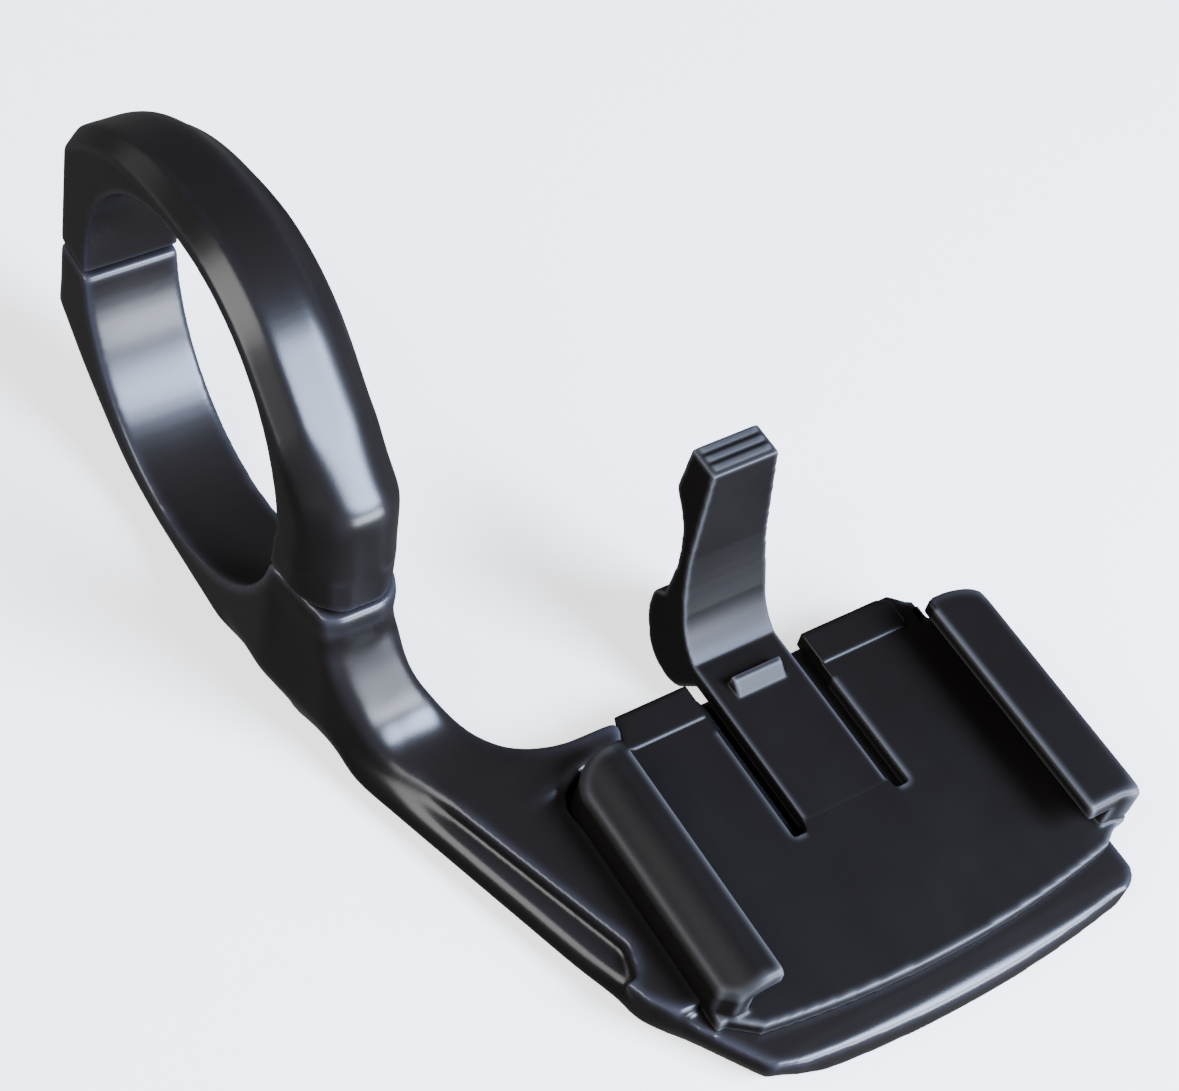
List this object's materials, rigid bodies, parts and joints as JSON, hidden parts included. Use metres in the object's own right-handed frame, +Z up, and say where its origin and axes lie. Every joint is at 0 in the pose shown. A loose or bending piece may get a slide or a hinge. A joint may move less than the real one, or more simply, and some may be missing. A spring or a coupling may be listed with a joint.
{
  "type": "bike computer mount",
  "caption": "Out-front handlebar mount for a bike computer: split ring clamp, forward arm, slide-in rail cradle with a sprung latch and thumb lever.",
  "frame": {"origin": "centre of the clamp's bore, on the handlebar's axis and in the middle of the band", "axes": "+X along the handlebar, +Y back to the rider, +Z up and square to the cradle's floor; the cradle lies forward, at -Y"},
  "size_m": [0.0558, 0.0882, 0.0373],
  "materials": {
    "body_plastic": "satin near-black nylon with moulded grain",
    "cradle_plastic": "matte black moulded plastic",
    "screw_steel": "black oxide",
    "insert_brass": "turned"
  },
  "bodies": {
    "mount": {"arm": "body_plastic", "cradle": "cradle_plastic", "cradle_screw_1": "screw_steel", "cradle_screw_2": "screw_steel", "cradle_screw_3": "screw_steel", "cradle_screw_4": "screw_steel"},
    "cap": {"clamp_cap": "body_plastic", "front_threaded_insert": "insert_brass", "rear_threaded_insert": "insert_brass"},
    "front_screw": {"front_clamp_screw": "screw_steel"},
    "rear_screw": {"rear_clamp_screw": "screw_steel"},
    "latch": {"latch_lever": "cradle_plastic"}
  },
  "joints": [
    {"name": "latch_press", "type": "hinge", "parent": "mount", "child": "latch", "pos_m": [0.0311, -0.0499, -0.01475], "axis": [-1, 0, 0], "range_deg": [0, 6], "stiffness_Nm_per_rad": 0.5},
    {"name": "cap_lift", "type": "slide", "parent": "mount", "child": "cap", "axis": [0, 0, 1], "range_m": [0, 0.04]},
    {"name": "front_screw_withdraw", "type": "slide", "parent": "mount", "child": "front_screw", "axis": [0, 0, -1], "range_m": [0, 0.022]},
    {"name": "rear_screw_withdraw", "type": "slide", "parent": "mount", "child": "rear_screw", "axis": [0, 0, -1], "range_m": [0, 0.018]}
  ]
}
